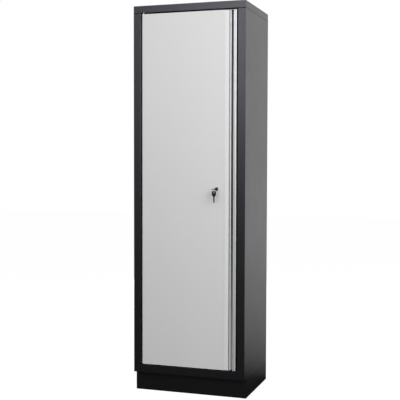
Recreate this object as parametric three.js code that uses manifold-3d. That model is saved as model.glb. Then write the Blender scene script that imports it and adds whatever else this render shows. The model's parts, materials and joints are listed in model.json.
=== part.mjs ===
// Tall steel side locker for a tool chest: a folded-sheet carcass on a recessed plinth, one
// inset door on hidden pivot pins, a full-height aluminium grip profile on the door's free
// edge, a cylinder lock that drives two rods, and four lift-out shelves.
// Millimetres, +Z up, front towards -Y. Inside the locker group y = 0 is the front plane of
// the carcass; the group is placed so that the overall box, keys included, is centred on the
// origin at floor level.

import * as THREE from 'three';
import { mergeVertices } from 'three/addons/utils/BufferGeometryUtils.js';
import Module from 'manifold-3d';

const wasm = await Module();
wasm.setup();

// Overall size
const caseWidth = 600;
const caseDepth = 450;
const caseHeight = 2000;

// Carcass sheet and frame
const sheet = 1;
const stileWidth = 40;
const railHeight = 40;
const capHeight = 36.5;
const jambMargin = 3;
const stopWidth = 16;
const rearFlange = 25;
const capFlange = 20;
const seamGap = 0.3;
const wallHoleRadius = 4.5;
const wallHoleDrop = 90;
const wallHoleInset = 120;

// Plinth
const plinthHeight = 100;
const plinthRecess = 35;
const plinthFlange = 25;

// Door leaf
const gapHinge = 3.5;
const gapFree = 7;
const gapTop = 6.5;
const gapBottom = 5;
const leafDepth = 22;
const panInset = 2;
const pivotInset = 8;

// Grip profile, measured from the door's free edge towards the hinge
const gripWall = 2;
const lipWidth = 13.9;
const mouthWidth = 12.2;
const nosingRadius = 5;
const nosingFlat = 1.3;
const beadWidth = 5.6;
const beadDepth = 1;
const beadSlope = 0.8;
const flangeWidth = 21.5;
const gripCap = 3;

// Pivot hinge
const pinRadius = 4;
const pinHead = 7;
const pinHeadDepth = 3;
const pinReach = 20;
const bushWall = 1.8;
const bushLength = 22;
const bushCollar = 7;
const topCollarDepth = 1.5;
const runClear = 0.3;

// Uprights, shelves and clips
const uprightDepth = 8;
const uprightWidth = 24;
const frontUprightInset = 18;
const rearUprightInset = 38;
const slotPitch = 75;
const slotHeight = 14;
const slotWidth = 4;
const shelfCount = 4;
const shelfClear = 20.1;
const shelfRearGap = 8;
const shelfDepth = 25;
const shelfHem = 15;
const shelfSideGap = 1;
const clipWidth = 16;
const clipLedge = 14;
const clipSheet = 2;
const clipDrop = 16;
const clipNeck = 6;
const clipHookDrop = 5;

// Cylinder lock
const lockFromSide = 149.3;
const lockHeight = 1064;
const bezelRadius = 9;
const bezelDepth = 3.5;
const barrelRadius = 7.5;
const plugRadius = 5.5;
const nutRadius = 12;
const nutDepth = 4;
const discRadius = 16;
const discDepth = 2.4;
const tailWidth = 6;
const drivePinRadius = 2.5;
const drivePinOrbit = 12;
const screwHead = 5.5;
const screwHeadDepth = 2;
const screwRadius = 1.6;
const screwLength = 8;

// Lock rods and guides
const rodWidth = 16;
const rodDepth = 3;
const rodTipGap = 6;
const rodEndMargin = 6;
const yokeClear = 0.6;
const keeperClear = 1;
const keeperMargin = 9.1;
const guideWidth = 30;
const guideHeight = 22;
const guideWall = 4;
const guideFromEnd = 70;
const guideFromLock = 220;

// Keys and ring
const bladeWidth = 7;
const bladeThick = 1.8;
const bladeInLock = 15;
const bladeInBow = 9;
const bowThick = 4;
const bowNeckStart = 18;
const bowNeckLength = 4;
const bowNeckWidth = 11;
const bowWidth = 21;
const bowLength = 24;
const bowCorner = 5;
const bowBridge = 4;
const windowWidth = 13;
const windowLength = 8.5;
const spareWindow = 5.5;
const ringRadius = 9.2;
const ringWire = 0.9;

// Door bumpers
const bumperRadius = 4;
const bumperDepth = 3.7;
const bumperInset = 250;

const roundSides = 24;
const arcSteps = 6;

// Places that several pieces share
const halfWidth = caseWidth / 2;
const openHalf = halfWidth - stileWidth;
const innerHalf = halfWidth - sheet;
const capBottom = caseHeight - capHeight;
const floorTop = plinthHeight + railHeight;
const backFront = caseDepth - sheet;
const doorFace = gripWall;
const doorLeft = gapHinge - openHalf;
const doorRight = openHalf - gapFree;
const doorBottom = floorTop + gapBottom;
const doorTop = capBottom - gapTop;
const pivotX = doorLeft + pivotInset;
const pivotY = doorFace + pivotInset;
const panRear = leafDepth + sheet;
const stopDepth = panRear + runClear + bumperDepth;
const jambDepth = stopDepth + jambMargin;
const lipEdge = doorRight - lipWidth;
const nosingEdge = lipEdge - mouthWidth;
const beadEnd = nosingEdge - nosingRadius - nosingFlat;
const beadStart = beadEnd - beadWidth;
const gripLeft = beadStart - flangeWidth;
const skinRight = beadStart - gripWall;
const bushRadius = pinRadius + runClear + bushWall;
const lockX = halfWidth - lockFromSide;
const lockZ = lockHeight;
const bezelFront = doorFace - bezelDepth;
const nutRear = panRear + nutDepth;
const discFront = nutRear + 2 * runClear;
const discRear = discFront + discDepth;
const rodFront = discRear + screwHeadDepth + 3 * runClear;
const rodRear = rodFront + rodDepth;
const capReturn = rodRear + keeperClear + keeperMargin;
const shelfFront = rodRear + guideWall + shelfClear;
const frontUpright = shelfFront + frontUprightInset;
const pinSwing = drivePinOrbit * Math.SQRT1_2;
const rodOffset = (drivePinOrbit + pinSwing) / 2;
const bowEnd = -(bowNeckStart + bowNeckLength + bowLength);
const bridgeMiddle = bowEnd + bowBridge / 2;
const keyReach = ringRadius + ringWire - bridgeMiddle;

// Materials
const darkCoat = new THREE.MeshStandardMaterial({ color: 0x3a3b3f, roughness: 0.6, metalness: 0 });
const blackCoat = new THREE.MeshStandardMaterial({ color: 0x17181a, roughness: 0.7, metalness: 0 });
const greyCoat = new THREE.MeshStandardMaterial({ color: 0xcfd1d3, roughness: 0.45, metalness: 0 });
const aluminium = new THREE.MeshStandardMaterial({ color: 0xd9dadb, roughness: 0.35, metalness: 1 });
const zincSteel = new THREE.MeshStandardMaterial({ color: 0xa9adb0, roughness: 0.4, metalness: 1 });
const darkNickel = new THREE.MeshStandardMaterial({ color: 0x55565a, roughness: 0.3, metalness: 1 });
const blackPlastic = new THREE.MeshStandardMaterial({ color: 0x121214, roughness: 0.5, metalness: 0 });
const greyPlastic = new THREE.MeshStandardMaterial({ color: 0x8d9093, roughness: 0.5, metalness: 0 });
const rubber = new THREE.MeshStandardMaterial({ color: 0x1c1c1c, roughness: 0.9, metalness: 0 });

// Solids from three.js geometry

function signedVolume(positions, triangles) {
  const a = new THREE.Vector3();
  const b = new THREE.Vector3();
  const c = new THREE.Vector3();
  let total = 0;
  for (const [i, j, k] of triangles) {
    a.fromArray(positions, 3 * i);
    b.fromArray(positions, 3 * j);
    c.fromArray(positions, 3 * k);
    total += a.dot(b.cross(c));
  }
  return total;
}

function toSolid(geometry) {
  geometry.deleteAttribute('normal');
  geometry.deleteAttribute('uv');
  const merged = mergeVertices(geometry, 1e-4);
  const positions = merged.attributes.position.array;
  const index = merged.index.array;
  const triangles = [];
  for (let n = 0; n < index.length; n += 3) {
    const corners = [index[n], index[n + 1], index[n + 2]];
    if (new Set(corners).size === 3) triangles.push(corners);
  }
  if (signedVolume(positions, triangles) < 0) triangles.forEach((corners) => corners.reverse());
  return new wasm.Manifold(new wasm.Mesh({
    numProp: 3,
    vertProperties: Float32Array.from(positions),
    triVerts: Uint32Array.from(triangles.flat()),
  }));
}

function toGeometry(solid) {
  const mesh = solid.getMesh();
  const geometry = new THREE.BufferGeometry();
  geometry.setAttribute('position', new THREE.BufferAttribute(Float32Array.from(mesh.vertProperties), 3));
  geometry.setIndex(Array.from(mesh.triVerts));
  geometry.computeVertexNormals();
  return geometry;
}

function join(first, ...others) {
  return others.reduce((whole, other) => whole.add(other), first);
}

function cut(first, ...tools) {
  return tools.reduce((whole, tool) => whole.subtract(tool), first);
}

function block(x0, x1, y0, y1, z0, z1) {
  const box = new THREE.BoxGeometry(x1 - x0, y1 - y0, z1 - z0);
  box.translate((x0 + x1) / 2, (y0 + y1) / 2, (z0 + z1) / 2);
  return toSolid(box);
}

// A block centred on x and running from y0 to y1 and z0 to z1
function wideBlock(halfX, y0, y1, z0, z1) {
  return block(-halfX, halfX, y0, y1, z0, z1);
}

function prism(points, z0, z1) {
  const shape = points instanceof THREE.Shape ? points : new THREE.Shape(points);
  const geometry = new THREE.ExtrudeGeometry(shape, {
    depth: z1 - z0,
    bevelEnabled: false,
    curveSegments: arcSteps,
  });
  geometry.translate(0, 0, z0);
  return toSolid(geometry);
}

function barAlongY(radius, x, z, y0, y1, sides = roundSides) {
  const bar = new THREE.CylinderGeometry(radius, radius, y1 - y0, sides);
  bar.translate(x, (y0 + y1) / 2, z);
  return toSolid(bar);
}

function barAlongZ(radius, x, y, z0, z1) {
  const bar = new THREE.CylinderGeometry(radius, radius, z1 - z0, roundSides);
  bar.rotateX(Math.PI / 2);
  bar.translate(x, y, (z0 + z1) / 2);
  return toSolid(bar);
}

function point(x, y) {
  return new THREE.Vector2(x, y);
}

function arcPoints(centreX, centreY, radius, fromDegrees, toDegrees) {
  const points = [];
  for (let step = 0; step <= arcSteps; step += 1) {
    const degrees = fromDegrees + ((toDegrees - fromDegrees) * step) / arcSteps;
    const angle = THREE.MathUtils.degToRad(degrees);
    points.push(point(centreX + radius * Math.cos(angle), centreY + radius * Math.sin(angle)));
  }
  return points;
}

// The outline of a sheet folded along a path, its thickness laid to the left of travel;
// a negative thickness lies to the right.
function foldedSheet(path, thickness) {
  const normals = [];
  for (let n = 0; n + 1 < path.length; n += 1) {
    const along = path[n + 1].clone().sub(path[n]).normalize();
    normals.push(point(-along.y, along.x));
  }
  const inside = path.map((corner, n) => {
    const before = normals[Math.max(n - 1, 0)];
    const after = normals[Math.min(n, normals.length - 1)];
    const mitre = before.clone().add(after).divideScalar(1 + before.dot(after));
    return corner.clone().addScaledVector(mitre, thickness);
  });
  return [...path, ...inside.reverse()];
}

const locker = new THREE.Group();
locker.position.y = (keyReach - caseDepth) / 2;

function addPiece(name, solid, material, parent = locker) {
  const mesh = new THREE.Mesh(toGeometry(solid), material);
  mesh.name = name;
  parent.add(mesh);
}

// Plinth: two side rails and, between them, the kick plate and the rear rail

function plinthCrossRail(webY, flangeFront, flangeRear) {
  const web = [webY, webY + sheet];
  const flanges = [flangeFront, flangeRear];
  const flangeHalf = halfWidth - plinthFlange - seamGap;
  return join(
    wideBlock(innerHalf, ...web, sheet, plinthHeight - sheet),
    wideBlock(flangeHalf, ...flanges, 0, sheet),
    wideBlock(flangeHalf, ...flanges, plinthHeight - sheet, plinthHeight),
  );
}

function plinthSideRail(side) {
  const web = [side * innerHalf, side * halfWidth].sort((a, b) => a - b);
  const flange = [side * (halfWidth - plinthFlange), side * halfWidth].sort((a, b) => a - b);
  return join(
    block(...web, plinthRecess, caseDepth, 0, plinthHeight),
    block(...flange, plinthRecess, caseDepth, 0, sheet),
    block(...flange, plinthRecess, caseDepth, plinthHeight - sheet, plinthHeight),
  );
}

addPiece('kick_plate', plinthCrossRail(plinthRecess, plinthRecess, plinthRecess + plinthFlange), blackCoat);
addPiece('rear_plinth_rail', plinthCrossRail(backFront, caseDepth - plinthFlange, caseDepth), blackCoat);
addPiece('left_plinth_rail', plinthSideRail(-1), blackCoat);
addPiece('right_plinth_rail', plinthSideRail(1), blackCoat);

// Carcass: side panels folded into stile and jamb, the right one with a door stop

const rodPlaceY = [rodFront, rodRear];
const upperRodX = lockX + rodOffset;
const lowerRodX = lockX - rodOffset;

function keeperSlot(x, z0, z1) {
  const half = rodWidth / 2 + keeperClear;
  return block(x - half, x + half, rodPlaceY[0] - keeperClear, rodPlaceY[1] + keeperClear, z0, z1);
}

function pinHole(z0, z1) {
  return barAlongZ(pinRadius + runClear, pivotX, pivotY, z0, z1);
}

function sidePanel(side, frontFold) {
  const path = [
    point(side * (halfWidth - rearFlange), backFront),
    point(side * halfWidth, backFront),
    point(side * halfWidth, 0),
    point(side * openHalf, 0),
    ...frontFold,
  ];
  return prism(foldedSheet(path, -side * sheet), plinthHeight, capBottom);
}

const plainJamb = [point(-openHalf, jambDepth)];
const stopJamb = [point(openHalf, stopDepth), point(openHalf - stopWidth, stopDepth)];
const stopFoot = block(
  openHalf - stopWidth - sheet, openHalf,
  stopDepth - sheet, stopDepth + 2 * sheet,
  plinthHeight - sheet, floorTop + seamGap,
);

addPiece('left_side_panel', sidePanel(-1, plainJamb), darkCoat);
addPiece('right_side_panel', cut(sidePanel(1, stopJamb), stopFoot), darkCoat);

// Back panel with two wall-fixing holes near its top

const wallHoleX = halfWidth - wallHoleInset;
const wallHoleZ = capBottom - wallHoleDrop;
const wallHoles = [-wallHoleX, wallHoleX].map(
  (x) => barAlongY(wallHoleRadius, x, wallHoleZ, backFront - sheet, caseDepth + sheet),
);
const backSheet = wideBlock(halfWidth, backFront, caseDepth, plinthHeight, capBottom);

addPiece('back_panel', cut(backSheet, ...wallHoles), darkCoat);

// Top cap: a box open below behind its front return

const capBox = wideBlock(halfWidth, 0, caseDepth, capBottom, caseHeight);
const capHollow = wideBlock(innerHalf, sheet, backFront, capBottom + sheet, caseHeight - sheet);
const capWindow = wideBlock(
  halfWidth - capFlange, capReturn, caseDepth - capFlange, capBottom - sheet, capBottom + 2 * sheet,
);
const capLow = capBottom - sheet;
const capHigh = capBottom + 2 * sheet;

addPiece('top_cap', cut(
  capBox, capHollow, capWindow, pinHole(capLow, capHigh), keeperSlot(upperRodX, capLow, capHigh),
), darkCoat);

// Floor pan: sheet level with the bottom rail, turned down to the plinth all round

const floorSheet = join(
  wideBlock(openHalf, 0, jambDepth + 2 * seamGap, floorTop - sheet, floorTop),
  wideBlock(innerHalf, jambDepth + seamGap, backFront - sheet, floorTop - sheet, floorTop),
);
const floorRail = wideBlock(openHalf, 0, sheet, plinthHeight, floorTop);
const floorReturn = wideBlock(openHalf, 0, plinthRecess + sheet, plinthHeight, plinthHeight + sheet);
const floorRear = wideBlock(innerHalf, backFront - 2 * sheet, backFront - sheet, plinthHeight, floorTop);
const floorSides = [[-innerHalf, sheet - innerHalf], [innerHalf - sheet, innerHalf]].map(
  (span) => block(...span, jambDepth + seamGap, backFront - sheet, plinthHeight, floorTop),
);
const floorLow = floorTop - 2 * sheet;
const floorHigh = floorTop + sheet;

addPiece('floor_pan', cut(
  join(floorSheet, floorRail, floorReturn, floorRear, ...floorSides),
  pinHole(floorLow, floorHigh),
  keeperSlot(lowerRodX, floorLow, floorHigh),
), darkCoat);

// Slotted uprights against the side panels

const webFace = innerHalf - uprightDepth;
const slotCount = Math.floor((capBottom - floorTop) / slotPitch) - 1;
const rearUpright = caseDepth - rearUprightInset;
const uprightPlaces = [
  { name: 'front_left', side: -1, y: frontUpright },
  { name: 'front_right', side: 1, y: frontUpright },
  { name: 'rear_left', side: -1, y: rearUpright },
  { name: 'rear_right', side: 1, y: rearUpright },
];

function slotFoot(index) {
  return floorTop + index * slotPitch;
}

function upright({ side, y }) {
  const path = [
    point(side * innerHalf, y - uprightWidth / 2),
    point(side * webFace, y - uprightWidth / 2),
    point(side * webFace, y + uprightWidth / 2),
    point(side * innerHalf, y + uprightWidth / 2),
  ];
  const channel = prism(foldedSheet(path, -side * sheet), floorTop, capBottom);
  const slots = [];
  for (let index = 1; index <= slotCount; index += 1) {
    const across = [side * (webFace - sheet), side * (webFace + 2 * sheet)].sort((a, b) => a - b);
    const foot = slotFoot(index);
    slots.push(block(...across, y - slotWidth / 2, y + slotWidth / 2, foot, foot + slotHeight));
  }
  return cut(channel, ...slots);
}

uprightPlaces.forEach((place) => addPiece(`upright_${place.name}`, upright(place), zincSteel));

// Shelves, each on four clips hooked into the uprights

const clipLow = clipNeck + 3 * sheet + runClear;
const shelfHalf = webFace - shelfSideGap;
const shelfRear = backFront - sheet - shelfRearGap;

function shelfFoot(number) {
  const index = Math.round((number * slotCount) / (shelfCount + 1));
  return slotFoot(index) + clipLow;
}

function shelf(number) {
  const foot = shelfFoot(number);
  const top = foot + shelfDepth;
  const hollowFoot = foot - sheet;
  const tray = cut(
    wideBlock(shelfHalf, shelfFront, shelfRear, foot, top),
    wideBlock(shelfHalf - sheet, shelfFront + sheet, shelfRear - sheet, hollowFoot, top - sheet),
  );
  const hem = wideBlock(shelfHalf, shelfFront, shelfFront + shelfHem, foot, foot + sheet);
  return join(tray, hem);
}

function clip(number, { side, y }) {
  const top = shelfFoot(number);
  const neckTop = top - 3 * sheet;
  const span = (near, far) => [side * near, side * far].sort((a, b) => a - b);
  const wide = [y - clipWidth / 2, y + clipWidth / 2];
  const narrow = [y - slotWidth / 2 + runClear, y + slotWidth / 2 - runClear];
  const hookNear = webFace + sheet + runClear;
  return join(
    block(...span(webFace - clipLedge, webFace), ...wide, top - clipSheet, top),
    block(...span(webFace - clipSheet, webFace), ...wide, top - clipDrop, top),
    block(...span(webFace - clipSheet, hookNear + clipSheet), ...narrow, neckTop - clipNeck, neckTop),
    block(...span(hookNear, hookNear + clipSheet), ...narrow, neckTop - clipNeck - clipHookDrop, neckTop),
  );
}

for (let number = 1; number <= shelfCount; number += 1) {
  addPiece(`shelf_${number}`, shelf(number), greyCoat);
  uprightPlaces.forEach((place) => {
    addPiece(`shelf_clip_${number}_${place.name}`, clip(number, place), zincSteel);
  });
}

// Door skin: rounded over along the hinge side, so that it turns clear of the stile

const hingeRound = arcPoints(pivotX, pivotY, pivotInset, 180, 270);
const skinPath = [point(doorLeft, leafDepth), ...hingeRound, point(skinRight, doorFace)];
const skinEnd = [...skinPath, point(skinRight, leafDepth)];
const lockHole = barAlongY(barrelRadius + runClear, lockX, lockZ, bezelFront, discRear);

function bushHole(z0, z1) {
  return barAlongZ(bushRadius + runClear, pivotX, pivotY, z0, z1);
}

addPiece('door_skin', cut(
  join(
    prism(foldedSheet(skinPath, sheet), doorBottom, doorTop),
    prism(skinEnd, doorBottom, doorBottom + sheet),
    prism(skinEnd, doorTop - sheet, doorTop),
  ),
  bushHole(doorBottom - sheet, doorBottom + 2 * sheet),
  bushHole(doorTop - 2 * sheet, doorTop + sheet),
  lockHole,
), greyCoat);

// Inner pan closing the back of the leaf

addPiece('door_inner_pan', cut(
  block(
    doorLeft + panInset, doorRight - panInset, leafDepth, panRear, doorBottom + panInset, doorTop - panInset,
  ),
  lockHole,
), greyCoat);

// Grip profile: flange on the skin, bead, nosing, finger groove and front lip

const gripFloor = leafDepth - gripWall;
const gripPath = [
  point(gripLeft, 0),
  point(beadStart, 0),
  point(beadStart + beadSlope, beadDepth),
  point(beadEnd - beadSlope, beadDepth),
  point(beadEnd, 0),
  ...arcPoints(nosingEdge - nosingRadius, nosingRadius, nosingRadius, 270, 360),
  point(nosingEdge, gripFloor),
  point(doorRight - gripWall, gripFloor),
  point(doorRight - gripWall, gripWall),
  point(lipEdge, gripWall),
];
const gripEndOutline = [
  point(gripLeft, 0),
  point(doorRight, 0),
  point(doorRight, leafDepth),
  point(skinRight + seamGap, leafDepth),
  point(skinRight + seamGap, gripWall),
  point(gripLeft, gripWall),
];

addPiece('door_grip_profile', prism(
  foldedSheet(gripPath, gripWall), doorBottom + gripCap, doorTop - gripCap,
), aluminium);
addPiece('grip_bottom_cap', prism(gripEndOutline, doorBottom, doorBottom + gripCap), greyPlastic);
addPiece('grip_top_cap', prism(gripEndOutline, doorTop - gripCap, doorTop), greyPlastic);

// Pivot hinge: headed pins in the carcass, collared bushes in the leaf

function hingeBush(collarFrom, collarTo, sleeveFrom, sleeveTo) {
  const low = Math.min(collarFrom, sleeveFrom);
  const high = Math.max(collarTo, sleeveTo);
  return cut(
    join(
      barAlongZ(bushCollar, pivotX, pivotY, collarFrom, collarTo),
      barAlongZ(bushRadius, pivotX, pivotY, sleeveFrom, sleeveTo),
    ),
    pinHole(low - sheet, high + sheet),
  );
}

const topHeadFoot = capBottom + sheet;
const bottomHeadTop = floorTop - sheet;

addPiece('top_hinge_pin', join(
  barAlongZ(pinHead, pivotX, pivotY, topHeadFoot, topHeadFoot + pinHeadDepth),
  barAlongZ(pinRadius, pivotX, pivotY, doorTop - pinReach, topHeadFoot + sheet),
), zincSteel);
addPiece('bottom_hinge_pin', join(
  barAlongZ(pinHead, pivotX, pivotY, bottomHeadTop - pinHeadDepth, bottomHeadTop),
  barAlongZ(pinRadius, pivotX, pivotY, bottomHeadTop - sheet, doorBottom + pinReach),
), zincSteel);
addPiece('top_hinge_bush', hingeBush(
  doorTop, doorTop + topCollarDepth, doorTop - bushLength, doorTop + sheet,
), blackPlastic);
addPiece('bottom_hinge_bush', hingeBush(
  floorTop + runClear, doorBottom, doorBottom - sheet, doorBottom + bushLength,
), blackPlastic);

// Cylinder lock: body and nut clamp the leaf, the plug carries the rod drive disc

const plugBore = barAlongY(plugRadius + runClear, lockX, lockZ, bezelFront - sheet, discRear);
const keyWay = block(
  lockX - bladeWidth / 2 - runClear, lockX + bladeWidth / 2 + runClear,
  bezelFront - sheet, bladeInLock + runClear,
  lockZ - bladeThick / 2 - runClear, lockZ + bladeThick / 2 + runClear,
);

function squareBar(width, y0, y1) {
  const half = width / 2;
  return block(lockX - half, lockX + half, y0, y1, lockZ - half, lockZ + half);
}

addPiece('lock_body', cut(
  join(
    barAlongY(bezelRadius, lockX, lockZ, bezelFront, doorFace),
    barAlongY(barrelRadius, lockX, lockZ, doorFace - sheet, nutRear),
  ),
  plugBore,
), darkNickel);
addPiece('lock_nut', cut(
  barAlongY(nutRadius, lockX, lockZ, panRear, nutRear, 6),
  barAlongY(barrelRadius + runClear, lockX, lockZ, leafDepth, discRear),
), zincSteel);
addPiece('lock_plug', cut(
  join(
    barAlongY(plugRadius, lockX, lockZ, bezelFront + runClear, discFront),
    squareBar(tailWidth, discFront - sheet, discRear),
  ),
  keyWay,
  barAlongY(screwRadius + runClear, lockX, lockZ, discRear - screwLength - runClear, discRear + sheet),
), darkNickel);

const drivePins = [1, -1].map((side) => barAlongY(
  drivePinRadius, lockX + side * pinSwing, lockZ - side * pinSwing, discRear - sheet, rodRear + sheet,
));

addPiece('rod_drive_disc', join(
  cut(
    barAlongY(discRadius, lockX, lockZ, discFront, discRear),
    squareBar(tailWidth + 2 * runClear, discFront - sheet, discRear + sheet),
  ),
  ...drivePins,
), zincSteel);
addPiece('drive_screw', join(
  barAlongY(screwHead, lockX, lockZ, discRear, discRear + screwHeadDepth),
  barAlongY(screwRadius, lockX, lockZ, discRear - screwLength, discRear + sheet),
), zincSteel);

// Lock rods, each with a cross slot that the disc's pin works in, and their guides

function lockRod(x, side, z0, z1) {
  const halfSlot = (drivePinOrbit - pinSwing) / 2 + drivePinRadius + yokeClear;
  const halfRise = drivePinRadius + yokeClear;
  const slotLow = lockZ - side * pinSwing - halfRise;
  const slotHigh = lockZ - side * pinSwing + halfRise;
  return cut(
    block(x - rodWidth / 2, x + rodWidth / 2, ...rodPlaceY, z0, z1),
    block(x - halfSlot, x + halfSlot, rodFront - sheet, rodRear + sheet, slotLow, slotHigh),
  );
}

function rodGuide(x, z) {
  const half = rodWidth / 2 + runClear;
  const low = z - guideHeight / 2;
  const high = z + guideHeight / 2;
  return cut(
    block(x - guideWidth / 2, x + guideWidth / 2, panRear, rodRear + guideWall, low, high),
    block(x - half, x + half, rodFront - runClear, rodRear + runClear, low - sheet, high + sheet),
  );
}

const guidePlaces = [
  [upperRodX, doorTop - guideFromEnd],
  [upperRodX, lockZ + guideFromLock],
  [lowerRodX, lockZ - guideFromLock],
  [lowerRodX, doorBottom + guideFromEnd],
];

addPiece('upper_lock_rod', lockRod(
  upperRodX, 1, lockZ - pinSwing - rodEndMargin, capBottom - rodTipGap,
), zincSteel);
addPiece('lower_lock_rod', lockRod(
  lowerRodX, -1, floorTop + rodTipGap, lockZ + pinSwing + rodEndMargin,
), zincSteel);
guidePlaces.forEach(([x, z], n) => addPiece(`rod_guide_${n + 1}`, rodGuide(x, z), blackPlastic));

// Keys: one in the lock and a spare that hangs on the ring, with a smaller window in its bow.
// In a key's own frame the blade points along +Y and the bow lies in the XY plane.

const neckEnd = -(bowNeckStart + bowNeckLength);
const bladeStart = -(bowNeckStart + bladeInBow);

function keyBlade() {
  const tip = bladeWidth / 4;
  const half = bladeWidth / 2;
  return prism([
    point(-half, bladeStart),
    point(half, bladeStart),
    point(half, bladeInLock - tip),
    point(tip, bladeInLock),
    point(-tip, bladeInLock),
    point(-half, bladeInLock - tip),
  ], -bladeThick / 2, bladeThick / 2);
}

function keyBow(width, length) {
  const halfNeck = bowNeckWidth / 2;
  const halfBow = bowWidth / 2 - bowCorner;
  const nearY = neckEnd - bowCorner;
  const farY = bowEnd + bowCorner;
  const outline = [
    point(-halfNeck, -bowNeckStart),
    ...arcPoints(-halfBow, nearY, bowCorner, 90, 180),
    ...arcPoints(-halfBow, farY, bowCorner, 180, 270),
    ...arcPoints(halfBow, farY, bowCorner, 270, 360),
    ...arcPoints(halfBow, nearY, bowCorner, 0, 90),
    point(halfNeck, -bowNeckStart),
  ];
  const windowFar = bowEnd + bowBridge;
  const pocketHalf = bladeWidth / 2 + runClear;
  const pocketRise = bladeThick / 2 + runClear;
  return cut(
    prism(outline, -bowThick / 2, bowThick / 2),
    wideBlock(width / 2, windowFar, windowFar + length, -bowThick, bowThick),
    wideBlock(pocketHalf, bladeStart - runClear, 0, -pocketRise, pocketRise),
  );
}

const ringInner = ringRadius - ringWire;
const ringDrop = Math.sqrt(ringInner ** 2 - (bowBridge / 2) ** 2);
const ringZ = lockZ + bowThick / 2 + runClear - ringDrop;
const wireRise = ringRadius - Math.sqrt(ringRadius ** 2 - (bowThick / 2) ** 2);
const spareSeat = ringZ - ringRadius + ringWire + wireRise + runClear;

const keyInLock = new THREE.Group();
keyInLock.position.set(lockX, 0, lockZ);
locker.add(keyInLock);
addPiece('key_blade', keyBlade(), darkNickel, keyInLock);
addPiece('key_bow', keyBow(windowWidth, windowLength), blackPlastic, keyInLock);

const ringShape = new THREE.TorusGeometry(ringRadius, ringWire, 8, roundSides);
ringShape.rotateY(Math.PI / 2);
ringShape.translate(lockX, bridgeMiddle, ringZ);
addPiece('key_ring', toSolid(ringShape), zincSteel);

const spareKey = new THREE.Group();
spareKey.rotation.x = -Math.PI / 2;
spareKey.position.set(lockX, bridgeMiddle, spareSeat + bowBridge + bowEnd);
locker.add(spareKey);
addPiece('spare_key_blade', keyBlade(), darkNickel, spareKey);
addPiece('spare_key_bow', keyBow(spareWindow, spareWindow), blackPlastic, spareKey);

// Rubber bumpers on the door stop

[['lower', doorBottom + bumperInset], ['upper', doorTop - bumperInset]].forEach(([name, z]) => {
  const x = doorRight - panInset - bumperRadius;
  addPiece(`${name}_door_bumper`, barAlongY(bumperRadius, x, z, panRear + runClear, stopDepth), rubber);
});

export default locker;
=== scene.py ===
import json
import math
import bmesh
import bpy
from mathutils import Matrix, Vector

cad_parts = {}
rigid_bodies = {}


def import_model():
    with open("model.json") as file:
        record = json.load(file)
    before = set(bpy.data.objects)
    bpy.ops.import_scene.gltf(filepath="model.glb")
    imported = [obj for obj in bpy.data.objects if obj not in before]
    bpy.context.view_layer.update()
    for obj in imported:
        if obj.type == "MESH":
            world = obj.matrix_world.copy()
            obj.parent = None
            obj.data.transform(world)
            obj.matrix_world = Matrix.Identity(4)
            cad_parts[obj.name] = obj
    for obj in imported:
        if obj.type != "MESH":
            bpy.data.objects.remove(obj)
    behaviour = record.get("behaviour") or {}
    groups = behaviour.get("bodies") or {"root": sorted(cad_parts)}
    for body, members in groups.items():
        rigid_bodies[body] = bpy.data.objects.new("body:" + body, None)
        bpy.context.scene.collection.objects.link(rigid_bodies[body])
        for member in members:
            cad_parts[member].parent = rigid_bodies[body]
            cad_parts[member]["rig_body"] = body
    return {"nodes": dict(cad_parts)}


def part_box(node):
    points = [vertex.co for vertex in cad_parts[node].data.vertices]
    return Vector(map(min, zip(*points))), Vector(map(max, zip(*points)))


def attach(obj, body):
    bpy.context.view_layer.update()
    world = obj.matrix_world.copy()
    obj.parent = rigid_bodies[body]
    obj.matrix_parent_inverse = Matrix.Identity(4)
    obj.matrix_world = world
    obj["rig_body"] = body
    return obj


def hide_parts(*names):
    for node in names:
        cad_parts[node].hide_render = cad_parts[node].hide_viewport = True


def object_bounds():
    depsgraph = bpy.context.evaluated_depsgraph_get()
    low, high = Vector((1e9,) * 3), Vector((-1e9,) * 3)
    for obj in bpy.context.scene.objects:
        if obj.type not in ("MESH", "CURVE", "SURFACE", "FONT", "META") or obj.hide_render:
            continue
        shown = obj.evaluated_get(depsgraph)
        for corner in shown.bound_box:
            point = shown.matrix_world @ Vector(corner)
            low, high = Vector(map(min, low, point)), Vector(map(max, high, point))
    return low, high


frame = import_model()
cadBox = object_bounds()

mm = 0.001
axisX, axisY, axisZ = range(3)
scene = bpy.context.scene


# Camera

camera = {
    "place": (1.4329, -4.2894, 1.2039),
    "yaw": 18.51,
    "pitch": -2.61,
    "roll": 0.13,
    "lens": 76.66,
    "sensor": 36.0,
    "reach": 60,
}


def makeCamera(spec):
    data = bpy.data.cameras.new("photo_camera")
    data.sensor_width = spec["sensor"]
    data.lens = spec["lens"]
    data.clip_end = spec["reach"]
    holder = bpy.data.objects.new("photo_camera", data)
    scene.collection.objects.link(holder)
    turn = Matrix.Rotation(math.radians(spec["yaw"]), 4, "Z")
    tilt = Matrix.Rotation(math.radians(90 + spec["pitch"]), 4, "X")
    roll = Matrix.Rotation(math.radians(spec["roll"]), 4, "Z")
    holder.matrix_world = Matrix.Translation(spec["place"]) @ turn @ tilt @ roll
    scene.camera = holder


makeCamera(camera)
scene.view_settings.view_transform = "Standard"


# Shader wiring: a wrapped socket takes plain arithmetic

class Wire:
    def __init__(self, sheet, socket):
        self.sheet = sheet
        self.socket = socket

    def maths(self, operation, first, second):
        return self.sheet.node("ShaderNodeMath", {"operation": operation}, {0: first, 1: second})

    def __add__(self, other):
        return self.maths("ADD", self, other)

    def __radd__(self, other):
        return self.maths("ADD", other, self)

    def __sub__(self, other):
        return self.maths("SUBTRACT", self, other)

    def __rsub__(self, other):
        return self.maths("SUBTRACT", other, self)

    def __mul__(self, other):
        return self.maths("MULTIPLY", self, other)

    def __pow__(self, other):
        return self.maths("POWER", self, other)


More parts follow.
